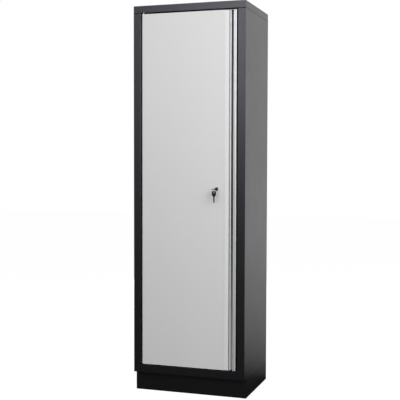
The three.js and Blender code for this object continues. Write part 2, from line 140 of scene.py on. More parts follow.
class ShaderSheet:
    def __init__(self, owner):
        owner.use_nodes = True
        self.tree = owner.node_tree
        self.tree.nodes.clear()

    def node(self, kind, settings=None, sockets=None, result=0):
        made = self.tree.nodes.new(kind)
        for name, value in (settings or {}).items():
            if name == "stops":
                ramp = made.color_ramp
                for spot, shade in zip(ramp.elements, value):
                    spot.position = shade[0]
                    spot.color = (*[shade[1]] * 3, 1)
            else:
                setattr(made, name, value)
        for name, value in (sockets or {}).items():
            if isinstance(value, Wire):
                self.tree.links.new(value.socket, made.inputs[name])
            else:
                made.inputs[name].default_value = value
        return Wire(self, made.outputs[result]) if made.outputs else None

    def place(self, scale=(1, 1, 1)):
        where = self.node("ShaderNodeTexCoord", result="Object")
        return self.node("ShaderNodeMapping", {}, {"Vector": where, "Scale": scale})

    def noise(self, where, scale, detail=2.0, roughness=0.5):
        return self.node("ShaderNodeTexNoise", {}, {
            "Vector": where, "Scale": scale, "Detail": detail, "Roughness": roughness})

    def ramp(self, value, low, high):
        return self.node("ShaderNodeValToRGB", {"stops": [(low, 0), (high, 1)]}, {"Fac": value})

    def blend(self, share, first, second):
        return self.node("ShaderNodeMix", {"data_type": "RGBA"}, {0: share, 6: first, 7: second}, 2)

    def worn(self):
        return self.node("ShaderNodeAttribute", {"attribute_name": "edge"}, {}, "Fac")

    def bump(self, height, strength, depth):
        return self.node("ShaderNodeBump", {}, {
            "Height": height, "Strength": strength, "Distance": depth})

    def part(self, where, letter):
        return self.node("ShaderNodeSeparateXYZ", {}, {"Vector": where}, letter)

    def clamped(self, value, factor):
        settings = {"operation": "MULTIPLY", "use_clamp": True}
        return self.node("ShaderNodeMath", settings, {0: value, 1: factor})

    def rays(self):
        kinds = ("Is Camera Ray", "Is Glossy Ray", "Is Transmission Ray")
        return [self.node("ShaderNodeLightPath", {}, {}, kind) for kind in kinds]

    def surface(self, **sockets):
        named = {key.replace("_", " "): value for key, value in sockets.items()}
        shader = self.node("ShaderNodeBsdfPrincipled", {}, named)
        self.node("ShaderNodeOutputMaterial", {}, {"Surface": shader})


def colour(red, green, blue):
    return (red, green, blue, 1.0)


finishes = {}


def finish(name):
    material = bpy.data.materials.new(name)
    finishes[name] = material
    return ShaderSheet(material)


# Anthracite fine-texture powder coat: pebbled film, faint speckle, thinner at the folds
darkCoat = {
    "film": colour(0.0026, 0.0025, 0.0029),
    "fleck": colour(0.0066, 0.0064, 0.0070),
    "rub": colour(0.0220, 0.0220, 0.0230),
    "tint": colour(0.89, 0.87, 1.0),
    "pebble": 620.0,
    "pebbleDepth": 0.00012,
    "fleckScale": 0.55,
    "cloud": 7.0,
    "smearScale": 5,
    "patch": 55.0,
    "sheen": 0.24,
}


def makeDarkCoat(spec):
    s = finish("dark_coat")
    where = s.place()
    pebble = s.noise(where, spec["pebble"], 3.0, 0.6)
    fleck = s.ramp(s.noise(where, spec["pebble"] * spec["fleckScale"], 2.0), 0.52, 0.68)
    cloud = s.noise(where, spec["cloud"], 4.0, 0.6)
    smear = s.noise(s.place((1.0, 1.0, 0.25)), spec["cloud"] * spec["smearScale"], 3.0)
    body = s.blend(fleck * 0.7, spec["film"], spec["fleck"])
    thin = s.worn() * s.ramp(s.noise(where, spec["patch"], 4.0, 0.65), 0.42, 0.72)
    s.surface(
        Base_Color=s.blend(thin * 0.6, body, spec["rub"]),
        Specular_Tint=spec["tint"],
        Roughness=spec["sheen"] + pebble * 0.10 + cloud * 0.05 + smear * 0.04 - thin * 0.06,
        Normal=s.bump(pebble, 0.35, spec["pebbleDepth"]),
    )


makeDarkCoat(darkCoat)

# Black coat of the plinth, with scuffs from shoes near the floor
blackCoat = {
    "film": colour(0.0024, 0.0024, 0.0025),
    "scuff": colour(0.0100, 0.0097, 0.0094),
    "pebble": 560.0,
    "pebbleDepth": 0.0001,
    "streak": (9.0, 9.0, 60.0),
    "scuffPatch": 6.0,
    "patch": 45.0,
    "sheen": 0.30,
    "gloss": 0.38,
}


def makeBlackCoat(spec):
    s = finish("black_coat")
    where = s.place()
    pebble = s.noise(where, spec["pebble"], 3.0, 0.6)
    streak = s.noise(s.place(spec["streak"]), 3.0, 5.0, 0.7)
    scuff = s.ramp(streak, 0.60, 0.80) * s.ramp(s.noise(where, spec["scuffPatch"], 3.0), 0.45, 0.70)
    thin = s.worn() * s.ramp(s.noise(where, spec["patch"], 4.0), 0.45, 0.75)
    s.surface(
        Base_Color=s.blend(scuff * 0.35 + thin * 0.4, spec["film"], spec["scuff"]),
        Specular_IOR_Level=spec["gloss"],
        Roughness=spec["sheen"] + pebble * 0.10 + scuff * 0.12,
        Normal=s.bump(pebble, 0.3, spec["pebbleDepth"]),
    )


makeBlackCoat(blackCoat)

# Light grey satin coat of the door: orange peel and a hardly visible drift of tone
greyCoat = {
    "film": colour(0.547, 0.549, 0.550),
    "drift": colour(0.574, 0.574, 0.572),
    "rub": colour(0.640, 0.640, 0.636),
    "peel": 260.0,
    "peelDepth": 0.00006,
    "grainScale": 5,
    "patch": 60.0,
    "sheen": 0.40,
}


def makeGreyCoat(spec):
    s = finish("grey_coat")
    where = s.place()
    peel = s.noise(where, spec["peel"], 2.0, 0.4)
    grain = s.noise(where, spec["peel"] * spec["grainScale"], 2.0)
    drift = s.noise(s.place((1.0, 1.0, 0.4)), 3.0, 3.0)
    wipe = s.noise(s.place((1.0, 1.0, 6.0)), 2.2, 4.0, 0.6)
    edge = s.worn() * s.ramp(s.noise(where, spec["patch"], 3.0), 0.35, 0.75)
    body = s.blend(drift * 0.8 + grain * 0.2, spec["film"], spec["drift"])
    s.surface(
        Base_Color=s.blend(edge * 0.5, body, spec["rub"]),
        Roughness=spec["sheen"] + peel * 0.06 + wipe * 0.08,
        Normal=s.bump(peel * 0.8 + grain * 0.2, 0.25, spec["peelDepth"]),
    )


makeGreyCoat(greyCoat)

# Satin anodised extrusion: die lines run the whole height
dieMarks = {
    "lines": (900.0, 900.0, 1.6),
    "depth": 0.00003,
    "bands": (160.0, 160.0, 0.5),
    "bloom": 9.0,
    "paintedLightFade": (0.1, 0.9),
}
# Its zones: the lip a little darker and more metallic; painted shade on the nosing top, in the groove, on
# the bead and line, and on the dull side at the gap; painted light at the foot of the nosing and the
# groove
aluminiums = {
    "aluminium": {"pale": colour(0.650, 0.653, 0.656), "deep": colour(0.584, 0.589, 0.594),
                  "metal": 0.14, "sheen": 0.50},
    "aluminium_lip": {"pale": colour(0.628, 0.630, 0.630), "deep": colour(0.526, 0.530, 0.532),
                      "metal": 0.70, "sheen": 0.43},
    "aluminium_nosing_painted_shading": {"pale": colour(0.430, 0.432, 0.434), "deep": colour(0.370, 0.372, 0.374),
                         "foot": colour(0.600, 0.602, 0.604), "metal": 0.70, "sheen": 0.43},
    "aluminium_groove_painted_shading": {"pale": colour(0.170, 0.172, 0.175), "deep": colour(0.110, 0.112, 0.116),
                         "foot": colour(0.640, 0.643, 0.646), "metal": 0.50, "sheen": 0.36},
    "aluminium_bead_painted_shade": {"pale": colour(0.300, 0.302, 0.305), "deep": colour(0.210, 0.212, 0.216),
                       "metal": 0.50, "sheen": 0.36},
    "aluminium_gap_painted_shade": {"pale": colour(0.080, 0.080, 0.082), "deep": colour(0.055, 0.055, 0.057),
                      "metal": 0.50, "sheen": 0.55},
}


def makeAluminium(name, spec):
    s = finish(name)
    lines = s.noise(s.place(dieMarks["lines"]), 1.0, 3.0, 0.6)
    bands = s.noise(s.place(dieMarks["bands"]), 1.0, 2.0)
    bloom = s.noise(s.place(), dieMarks["bloom"], 3.0)
    tone = s.blend(lines * 0.6 + bands * 0.4, spec["pale"], spec["deep"])
    # Painted light: these zones turn paler towards the foot, fading in over the height
    if "foot" in spec:
        height = s.part(s.place(), "Z")
        tone = s.blend(s.ramp(height, *dieMarks["paintedLightFade"]), spec["foot"], tone)
    s.surface(
        Base_Color=tone,
        Metallic=spec["metal"],
        Roughness=spec["sheen"] + lines * 0.12 + bloom * 0.05,
        Normal=s.bump(lines, 0.25, dieMarks["depth"]),
    )


for zoneName, zoneSpec in aluminiums.items():
    makeAluminium(zoneName, zoneSpec)

# Zinc plate: small crystal facets, a faint blue and straw passivation
zinc = {
    "cool": colour(0.560, 0.572, 0.590),
    "warm": colour(0.585, 0.580, 0.560),
    "dull": colour(0.430, 0.432, 0.435),
    "facet": 420.0,
    "tint": 38.0,
    "draw": (500.0, 500.0, 8.0),
    "drawDepth": 0.00003,
    "patch": 90.0,
    "sheen": 0.34,
}


def makeZinc(spec):
    s = finish("zinc_steel")
    where = s.place()
    facet = s.node("ShaderNodeTexVoronoi", {}, {"Vector": where, "Scale": spec["facet"]}, "Color")
    tone = s.node("ShaderNodeSeparateColor", {}, {"Color": facet}, "Red")
    tint = s.noise(where, spec["tint"], 3.0)
    draw = s.noise(s.place(spec["draw"]), 1.0, 2.0)
    rub = s.worn() * s.noise(where, spec["patch"], 2.0)
    body = s.blend(s.ramp(tint, 0.35, 0.65), spec["cool"], spec["warm"])
    s.surface(
        Base_Color=s.blend(tone * 0.25 + rub * 0.3, body, spec["dull"]),
        Metallic=1.0,
        Roughness=spec["sheen"] + tone * 0.12 + draw * 0.10,
        Normal=s.bump(draw, 0.2, spec["drawDepth"]),
    )


makeZinc(zinc)

# Dark nickel of the lock and key blades: fine brushing and haze, brighter on rubbed edges
darkNickel = {
    "dark": colour(0.040, 0.039, 0.040),
    "rubbed": colour(0.210, 0.206, 0.198),
    "haze": 420.0,
    "brush": (2600.0, 300.0, 2600.0),
    "brushDepth": 0.00002,
    "patch": 700.0,
    "sheen": 0.22,
}


def makeDarkNickel(spec):
    s = finish("dark_nickel")
    where = s.place()
    haze = s.noise(where, spec["haze"], 3.0)
    brush = s.noise(s.place(spec["brush"]), 1.0, 2.0)
    rub = s.worn() * s.ramp(s.noise(where, spec["patch"], 2.0), 0.30, 0.70)
    s.surface(
        Base_Color=s.blend(rub * 0.7 + haze * 0.1, spec["dark"], spec["rubbed"]),
        Metallic=1.0,
        Roughness=spec["sheen"] + haze * 0.10 + brush * 0.06,
        Normal=s.bump(brush, 0.15, spec["brushDepth"]),
    )


makeDarkNickel(darkNickel)

# Moulded plastics and rubber share one recipe: spark-eroded grain, lighter on the edges
mouldingBloom = 70.0
mouldings = {
    "black_plastic": {"tone": colour(0.0050, 0.0050, 0.0052), "lift": colour(0.0120, 0.0120, 0.0124),
                      "grain": 1500.0, "depth": 0.00005, "sheen": 0.36, "gloss": 0.16},
    "grey_plastic": {"tone": colour(0.230, 0.235, 0.240), "lift": colour(0.330, 0.332, 0.335),
                     "grain": 1300.0, "depth": 0.00005, "sheen": 0.44, "gloss": 0.5},
    "rubber": {"tone": colour(0.0130, 0.0130, 0.0130), "lift": colour(0.0330, 0.0325, 0.0320),
               "grain": 900.0, "depth": 0.00008, "sheen": 0.72, "gloss": 0.5},
}


def makeMoulding(name, spec):
    s = finish(name)
    where = s.place()
    grain = s.noise(where, spec["grain"], 2.0)
    bloom = s.noise(where, mouldingBloom, 3.0)
    lift = s.worn() * 0.6 + s.ramp(bloom, 0.45, 0.80) * 0.3
    s.surface(
        Base_Color=s.blend(lift, spec["tone"], spec["lift"]),
        Specular_IOR_Level=spec["gloss"],
        Roughness=spec["sheen"] + grain * 0.10 + bloom * 0.05,
        Normal=s.bump(grain, 0.3, spec["depth"]),
    )


for mouldingName, mouldingSpec in mouldings.items():
    makeMoulding(mouldingName, mouldingSpec)
print("finishes:", ", ".join(finishes))


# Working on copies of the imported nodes

meshing = {
    "weld": 0.02 * mm,
    "flatAngle": 0.3,
    "sliver": 0.002 * mm,
    "cutSlack": 0.001 * mm,
    "smoothAngle": 27.0,
    "normalWeight": 90,
    "foldAngle": 40.0,
    "foldBreadth": 4 * mm,
    "outerSteps": 3,
    "innerSteps": 2,
    "rimAngle": 50.0,
    "rimSteps": 2,
    "facing": 0.99,
    "levelSlack": 0.05 * mm,
}


def copyOf(node):
    shape = bmesh.new()
    shape.from_mesh(frame["nodes"][node].data)
    bmesh.ops.remove_doubles(shape, verts=shape.verts, dist=meshing["weld"])
    bmesh.ops.dissolve_limit(
        shape, angle_limit=math.radians(meshing["flatAngle"]), use_dissolve_boundaries=False,
        verts=shape.verts, edges=shape.edges, delimit=set())
    return shape


def edgeLayer(shape):
    layer = shape.faces.layers.float.get("edge")
    return layer or shape.faces.layers.float.new("edge")


def breadth(face):
    return face.calc_area() / max(edge.calc_length() for edge in face.edges)


def roundEdges(shape, edges, radius, steps, mark=True, clamp=True):
    if not edges:
        return
    layer = edgeLayer(shape)
    made = bmesh.ops.bevel(
        shape, geom=edges, offset=radius, offset_type="OFFSET", segments=steps, profile=0.5,
        affect="EDGES", clamp_overlap=clamp, loop_slide=True, material=-1)
    for face in made["faces"]:
        face[layer] = 1.0 if mark else 0.0


def sharpEdges(shape, least):
    found = []
    for edge in shape.edges:
        if len(edge.link_faces) == 2 and edge.calc_face_angle(0.0) > math.radians(least):
            found.append(edge)
    return found


def foldEdges(shape, convex):
    return [e for e in sharpEdges(shape, meshing["foldAngle"])
            if e.is_convex == convex and min(breadth(f) for f in e.link_faces) > meshing["foldBreadth"]]


def rimEdges(shape, least):
    return [e for e in sharpEdges(shape, least) if e.is_convex]


# Folded sheet: the bends get their radius, then the cut edges are broken
def roundSheet(shape, bends):
    roundEdges(shape, foldEdges(shape, True), bends["outer"], meshing["outerSteps"])
    roundEdges(shape, foldEdges(shape, False), bends["inner"], meshing["innerSteps"], mark=False)
    rims = rimEdges(shape, meshing["rimAngle"])
    roundEdges(shape, rims, bends["rim"], meshing["rimSteps"], clamp=False)


def roundAll(shape, radius, steps, least=meshing["rimAngle"]):
    roundEdges(shape, rimEdges(shape, least), radius, steps)


def put(shape, name, body, finishName, nodes=()):
    mesh = bpy.data.meshes.new(name)
    edgeLayer(shape)
    bmesh.ops.dissolve_degenerate(shape, dist=meshing["sliver"], edges=shape.edges)
    for face in shape.faces:
        face.smooth = True
    for edge in sharpEdges(shape, meshing["smoothAngle"]):
        edge.smooth = False
    shape.to_mesh(mesh)
    shape.free()
    piece = bpy.data.objects.new(name, mesh)
    scene.collection.objects.link(piece)
    mesh.materials.append(finishes[finishName])
    even = piece.modifiers.new("evenNormals", "WEIGHTED_NORMAL")
    even.weight = meshing["normalWeight"]
    even.keep_sharp = True
    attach(piece, body)
    if nodes:
        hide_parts(*nodes)
    return piece


def bodyOf(node):
    return frame["nodes"][node]["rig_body"]


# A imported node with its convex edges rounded, as a piece of its own
def roundedPiece(node, ending, finishName, radius, steps, least=meshing["rimAngle"]):
    shape = copyOf(node)
    roundAll(shape, radius, steps, least)
    put(shape, node + ending, bodyOf(node), finishName, [node])


def sliceAt(shape, axis, *spots):
    along = Vector([1.0 if step == axis else 0.0 for step in range(3)])
    for spot in spots:
        bmesh.ops.bisect_plane(
            shape, geom=list(shape.verts) + list(shape.edges) + list(shape.faces),
            dist=meshing["cutSlack"], plane_co=along * spot, plane_no=along,
            use_snap_center=False, clear_outer=False, clear_inner=False)


# Flat faces that look along an axis, to its side 1 or -1, at a level
def facesAt(shape, axis, side, level):
    return [f for f in shape.faces if f.normal[axis] * side > meshing["facing"]
            and abs(f.calc_center_median()[axis] - level) < meshing["levelSlack"]]


def sinkFaces(shape, faces, border, deep):
    bmesh.ops.inset_region(
        shape, faces=faces, thickness=border, depth=-deep, use_boundary=True, use_even_offset=True)


# A long shallow rib pressed into a flat sheet: cut its outline, then push the middle
def pressRib(shape, low, high, wall, push):
    sliceAt(shape, axisX, low[0], low[0] + wall, high[0] - wall, high[0])
    sliceAt(shape, axisZ, low[1], low[1] + wall, high[1] - wall, high[1])
    slack = 0.05 * mm
    moved = [v for v in shape.verts
             if low[0] + wall - slack < v.co.x < high[0] - wall + slack
             and low[1] + wall - slack < v.co.z < high[1] - wall + slack]
    bmesh.ops.translate(shape, verts=moved, vec=push)


# A sheet with upright ribs, pushed along Y
def makeRibbed(node, finishName, spec):
    low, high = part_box(node)
    half = spec["ribWidth"] / 2
    shape = copyOf(node)
    roundAll(shape, spec["rim"], 1)
    for middle in spec["ribs"]:
        pressRib(
            shape, (middle - half, low.z + spec["fromEnds"]), (middle + half, high.z - spec["fromEnds"]),
            spec["wall"], (0, spec["push"], 0))
    put(shape, node + "_sheet", bodyOf(node), finishName, [node])


# Carcass, plinth and shelves

carcassBends = {"outer": 1.5 * mm, "inner": 0.5 * mm, "rim": 0.22 * mm}
sidePanels = {"ends": 0.1 * mm, "skin": 0.3 * mm, "capJoint": 2.6 * mm, "shadedShare": 0.97}


# The outer skin stops short of the cap, which leaves a closed V between them
def openCapJoint(shape, node, spec):
    low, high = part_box(node)
    rim = [v for v in shape.verts if v.co.z > high.z - spec["ends"]
           and (abs(v.co.x) > cadBox[1].x - spec["skin"] or v.co.y < low.y + spec["skin"])]
    bmesh.ops.translate(shape, verts=rim, vec=(0, 0, -spec["capJoint"]))


# Painted shade: black faces in that joint stand in for the shadow of the gap under the cap
def shadeCapJoint(piece, node, spec):
    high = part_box(node)[1]
    piece.data.materials.append(finishes["black_plastic"])
    for face in piece.data.polygons:
        if face.center.z > high.z - spec["shadedShare"] * spec["capJoint"]:
            face.material_index = 1


carcassSheets = ["left_side_panel", "right_side_panel", "top_cap", "floor_pan",
                 "shelf_1", "shelf_2", "shelf_3", "shelf_4"]
for node in carcassSheets:
    shape = copyOf(node)
    if node.endswith("side_panel"):
        openCapJoint(shape, node, sidePanels)
    roundSheet(shape, carcassBends)
    piece = put(shape, node + "_sheet", bodyOf(node), "dark_coat", [node])
    if node.endswith("side_panel"):
        shadeCapJoint(piece, node, sidePanels)

plinthSheets = ["kick_plate", "rear_plinth_rail", "left_plinth_rail", "right_plinth_rail"]
for node in plinthSheets:
    shape = copyOf(node)
    roundSheet(shape, carcassBends)
    put(shape, node + "_sheet", bodyOf(node), "black_coat", [node])

backSheet = {
    "rim": 0.2 * mm,
    "ribs": [-170 * mm, 0.0, 170 * mm],
    "ribWidth": 44 * mm,
    "fromEnds": 260 * mm,
    "wall": 8 * mm,
    "push": -5.5 * mm,
}

makeRibbed("back_panel", "dark_coat", backSheet)

uprights = {
    "nodes": ["upright_front_left", "upright_front_right", "upright_rear_left", "upright_rear_right"],
    "rim": 0.25 * mm,
}
for node in uprights["nodes"]:
    roundedPiece(node, "_rail", "dark_coat", uprights["rim"], 2)

clips = {"rim": 0.3 * mm, "levels": 4, "sides": ("front_left", "front_right", "rear_left", "rear_right")}
for level in range(1, clips["levels"] + 1):
    for side in clips["sides"]:
        roundedPiece(f"shelf_clip_{level}_{side}", "_bent", "zinc_steel", clips["rim"], 2)
print("carcass, shelves and plinth made")


# Door leaf

doorSkin = {"outer": 1.2 * mm, "inner": 0.4 * mm, "rim": 0.2 * mm}
shape = copyOf("door_skin")
roundSheet(shape, doorSkin)
put(shape, "door_skin_sheet", "door", "grey_coat", ["door_skin"])

innerPan = {
    "rim": 0.2 * mm,
    "ribs": [-165 * mm, -25 * mm],
    "ribWidth": 60 * mm,
    "fromEnds": 150 * mm,
    "wall": 8 * mm,
    "push": 6.0 * mm,
}

makeRibbed("door_inner_pan", "grey_coat", innerPan)

# Distances from the free edge and depths behind the front
gripProfile = {
    "rim": 0.35 * mm,
    "beadFromFree": (37.4 * mm, 33.0 * mm),
    "beadReach": 1.1 * mm,
    "beadDepth": (0.5 * mm, 4 * mm),
    "beadFaces": 1 * mm,
    "beadFaceDepth": 0.6 * mm,
    "beadSink": 2.6 * mm,
    "wallDepth": 2 * mm,
    "wallSlack": 0.3 * mm,
    "frontSlack": 0.1 * mm,
    "lineFromFree": (9.6 * mm, 6.8 * mm),
    "lineSlope": 0.4 * mm,
    "lineInset": 0.3 * mm,
    "lineFaceDepth": (0.3 * mm, 1.6 * mm),
    "lineSink": 1.2 * mm,
    "grooveFromFree": 26.5 * mm,
    "grooveDepth": 2.6 * mm,
    "outerWall": 1.2 * mm,
    "lipFromFree": 14.4 * mm,
    "gapFromFree": 0.5 * mm,
    "gapFacing": 0.8,
}


# Picks each face's zone: painted shade on the gap side, bead, line and groove, and on the nosing above
# its painted lighter foot
def gripZone(face, low, high, spec):
    fromFree, deep = high.x - face.center.x, face.center.y - low.y
    beadFar, beadNear = spec["beadFromFree"]
    lineFar, lineNear = spec["lineFromFree"]
    reach = spec["beadFaces"]
    inBead = beadNear - reach < fromFree < beadFar + reach and deep > spec["beadFaceDepth"]
    lineTop, lineFoot = spec["lineFaceDepth"]
    inLine = lineNear < fromFree < lineFar and lineTop < deep < lineFoot
    outer = face.center.y > high.y - spec["outerWall"] or fromFree < spec["outerWall"]
    if face.normal.x > spec["gapFacing"] and fromFree < spec["gapFromFree"]:
        return "aluminium_gap_painted_shade"
    if inBead or inLine:
        return "aluminium_bead_painted_shade"
    if fromFree < spec["grooveFromFree"] and deep > spec["grooveDepth"] and not outer:
        return "aluminium_groove_painted_shading"
    if fromFree < spec["lipFromFree"]:
        return "aluminium_lip"
    return "aluminium_nosing_painted_shading" if fromFree < beadNear else "aluminium"


def makeGrip(spec):
    low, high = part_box("door_grip_profile")
    shape = copyOf("door_grip_profile")
    beadLow, beadHigh = (high.x - reach for reach in spec["beadFromFree"])
    bead = []
    for v in shape.verts:
        deep = v.co.y - low.y
        nearBead = beadLow - spec["beadReach"] < v.co.x < beadHigh + spec["beadReach"]
        onWall = abs(deep - spec["wallDepth"]) <= spec["wallSlack"]
        if nearBead and spec["beadDepth"][0] < deep < spec["beadDepth"][1] and not onWall:
            bead.append(v)
    bmesh.ops.translate(shape, verts=bead, vec=(0, spec["beadSink"], 0))
    lineLow, lineHigh = (high.x - reach for reach in spec["lineFromFree"])
    slope, inset = spec["lineSlope"], spec["lineInset"]
    sliceAt(shape, axisX, lineLow, lineLow + slope, lineHigh - slope, lineHigh)
    line = [v for v in shape.verts if v.co.y < low.y + spec["frontSlack"]
            and lineLow + inset < v.co.x < lineHigh - inset]
    bmesh.ops.translate(shape, verts=line, vec=(0, spec["lineSink"], 0))
    roundAll(shape, spec["rim"], 2)
    piece = put(shape, "door_grip_extrusion", "door", "aluminium", ["door_grip_profile"])
    zones = list(aluminiums)
    for zone in zones[1:]:
        piece.data.materials.append(finishes[zone])
    for face in piece.data.polygons:
        face.material_index = zones.index(gripZone(face, low, high, spec))


makeGrip(gripProfile)

gripCaps = {"rim": 0.5 * mm, "shadeFromFree": (34.0 * mm, 16.0 * mm)}
roundedPiece("grip_top_cap", "_moulding", "grey_plastic", gripCaps["rim"], 3)


# Painted shade: the lower cap is black across the mouth of the groove, standing in for the shadow in its
# open end
def makeLowerCap(spec):
    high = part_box("grip_bottom_cap")[1]
    shadeLow, shadeHigh = (high.x - reach for reach in spec["shadeFromFree"])
    shape = copyOf("grip_bottom_cap")
    roundAll(shape, spec["rim"], 3)
    sliceAt(shape, axisX, shadeLow, shadeHigh)
    piece = put(shape, "grip_bottom_cap_moulding", "door", "grey_plastic", ["grip_bottom_cap"])
    piece.data.materials.append(finishes["black_plastic"])
    for face in piece.data.polygons:
        face.material_index = 1 if shadeLow < face.center.x < shadeHigh else 0


makeLowerCap(gripCaps)

hinge = {
    "pins": ["top_hinge_pin", "bottom_hinge_pin"],
    "bushes": ["top_hinge_bush", "bottom_hinge_bush"],
    "rim": 0.4 * mm,
}
for node in hinge["pins"]:
    roundedPiece(node, "_turned", "zinc_steel", hinge["rim"], 2)
for node in hinge["bushes"]:
    roundedPiece(node, "_moulding", "black_plastic", hinge["rim"], 2)

bumpers = {"nodes": ["lower_door_bumper", "upper_door_bumper"], "crown": 1.3 * mm}
for node in bumpers["nodes"]:
    roundedPiece(node, "_moulding", "rubber", bumpers["crown"], 4)
print("door leaf made")


# Small fixings

# Outlines are radius and height in mm
rivet = {
    "outline": [(0.0, 0.30), (0.55, 0.32), (0.75, 0.78), (1.3, 0.80),
                (2.1, 0.52), (2.5, 0.10), (2.5, -0.3), (0.0, -0.3)],
    "steps": 16,
}
panScrew = {
    "outline": [(0.0, 1.5), (1.7, 1.4), (2.5, 0.9), (2.8, 0.25), (2.8, -0.3), (0.0, -0.3)],
    "steps": 16,
    "crossHalf": 1.5 * mm, "crossWall": 0.35 * mm, "crossDeep": 0.8 * mm,
}


# Spins the outline about +Y and moves the dome to its place
def dome(shape, spec, place):
    column = [shape.verts.new((r * mm, h * mm, 0)) for r, h in spec["outline"]]
    lines = [shape.edges.new(pair) for pair in zip(column, column[1:])]
    bmesh.ops.spin(
        shape, geom=column + lines, cent=(0, 0, 0), axis=(0, 1, 0), dvec=(0, 0, 0),
        angle=math.tau, steps=spec["steps"], use_merge=True, use_duplicate=False)
    fresh = [v for v in shape.verts if not v.tag]
    bmesh.ops.remove_doubles(shape, verts=fresh, dist=0.004 * mm)
    fresh = [v for v in shape.verts if not v.tag]
    bmesh.ops.translate(shape, verts=fresh, vec=place)
    for v in fresh:
        v.tag = True


def domes(spec, places):
    shape = bmesh.new()
    for place in places:
        dome(shape, spec, place)
    bmesh.ops.recalc_face_normals(shape, faces=shape.faces)
    return shape


# Presses a cross into the faces that look along +Y round a centre
def pressCross(shape, centre, spec):
    half, wall = spec["crossHalf"], spec["crossWall"]
    for reach in (-half, -wall, wall, half):
        sliceAt(shape, axisX, centre.x + reach)
        sliceAt(shape, axisZ, centre.z + reach)
    slack, facing = 0.01 * mm, 0.6
    picked = []
    for face in shape.faces:
        middle = face.calc_center_median()
        across, up = abs(middle.x - centre.x), abs(middle.z - centre.z)
        inArm = (across < wall + slack and up < half + slack
                 or up < wall + slack and across < half + slack)
        if face.normal.y > facing and inArm:
            picked.append(face)
    sunk = bmesh.ops.extrude_face_region(shape, geom=picked)
    bmesh.ops.delete(shape, geom=picked, context="FACES")
    moved = [item for item in sunk["geom"] if isinstance(item, bmesh.types.BMVert)]
    bmesh.ops.translate(shape, verts=moved, vec=(0, -spec["crossDeep"], 0))


panRivets = {"inset": 13 * mm, "freeInset": 17 * mm, "columns": 5, "rows": 8}


def makePanRivets(spec):
    low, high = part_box("door_inner_pan")
    left, right = low.x + spec["inset"], high.x - spec["freeInset"]
    bottom, top = low.z + spec["inset"], high.z - spec["inset"]
    places = []
    for step in range(spec["columns"]):
        x = left + (right - left) * step / (spec["columns"] - 1)
        places += [(x, high.y, bottom), (x, high.y, top)]
    for step in range(1, spec["rows"]):
        z = bottom + (top - bottom) * step / spec["rows"]
        places += [(left, high.y, z), (right, high.y, z)]
    put(domes(rivet, places), "inner_pan_rivets", "door", "zinc_steel")


makePanRivets(panRivets)

guideScrews = {"apart": 11.6 * mm, "guides": 4}
for number in range(1, guideScrews["guides"] + 1):
    low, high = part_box(f"rod_guide_{number}")
    middle = (low + high) / 2
    places = [Vector((middle.x + side * guideScrews["apart"], high.y, middle.z)) for side in (-1, 1)]
    shape = domes(panScrew, places)
    for place in places:
        pressCross(shape, place, panScrew)
    put(shape, f"rod_guide_{number}_screws", "door", "zinc_steel")
print("fixings made")


# Lock, rods and guides

lockAngle = 35.0
lockParts = {
    "lock_nut": ("zinc_steel", 0.5 * mm, 2),
    "lock_plug": ("dark_nickel", 0.25 * mm, 2),
    "rod_drive_disc": ("zinc_steel", 0.3 * mm, 2),
    "upper_lock_rod": ("zinc_steel", 0.35 * mm, 2),
    "lower_lock_rod": ("zinc_steel", 0.35 * mm, 2),
    "rod_guide_1": ("black_plastic", 0.6 * mm, 3),
    "rod_guide_2": ("black_plastic", 0.6 * mm, 3),
    "rod_guide_3": ("black_plastic", 0.6 * mm, 3),
    "rod_guide_4": ("black_plastic", 0.6 * mm, 3),
}
for node, (finishName, radius, steps) in lockParts.items():
    roundedPiece(node, "_made", finishName, radius, steps, lockAngle)

lockBezel = {"lip": 0.9 * mm, "steps": 4, "dish": 1.1 * mm, "dishDeep": 0.35 * mm}
shape = copyOf("lock_body")
roundAll(shape, lockBezel["lip"], lockBezel["steps"], lockAngle)
bezelFace = facesAt(shape, axisY, -1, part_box("lock_body")[0].y)
sinkFaces(shape, bezelFace, lockBezel["dish"], lockBezel["dishDeep"])
put(shape, "lock_body_made", "door", "dark_nickel", ["lock_body"])

driveScrew = {
    "lip": 0.7 * mm, "steps": 3,
    "crossHalf": 3.2 * mm, "crossWall": 0.7 * mm, "crossDeep": 1.3 * mm,
}
low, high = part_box("drive_screw")
shape = copyOf("drive_screw")
roundAll(shape, driveScrew["lip"], driveScrew["steps"])
pressCross(shape, (low + high) / 2, driveScrew)
put(shape, "drive_screw_made", bodyOf("drive_screw"), "zinc_steel", ["drive_screw"])
print("lock and rods made")


# Keys and ring

# In mm from the tip; a cut is its place and depth
keyBlade = {
    "cuts": [(3.6, 2.5), (6.4, 2.2), (9.2, 2.0), (12.0, 1.3), (14.8, 1.1)],
    "land": 0.45, "slope": 1.05,
    "tip": 5.6, "tipShare": 0.2,
    "channel": (-0.2, 1.5), "channelWall": 0.3, "channelDeep": 0.5, "channelEnd": 17.5,
    "endSlack": 0.2, "faceReach": 0.5, "slack": 0.05,
    "rim": 0.14 * mm, "rimAngle": 60.0,
}


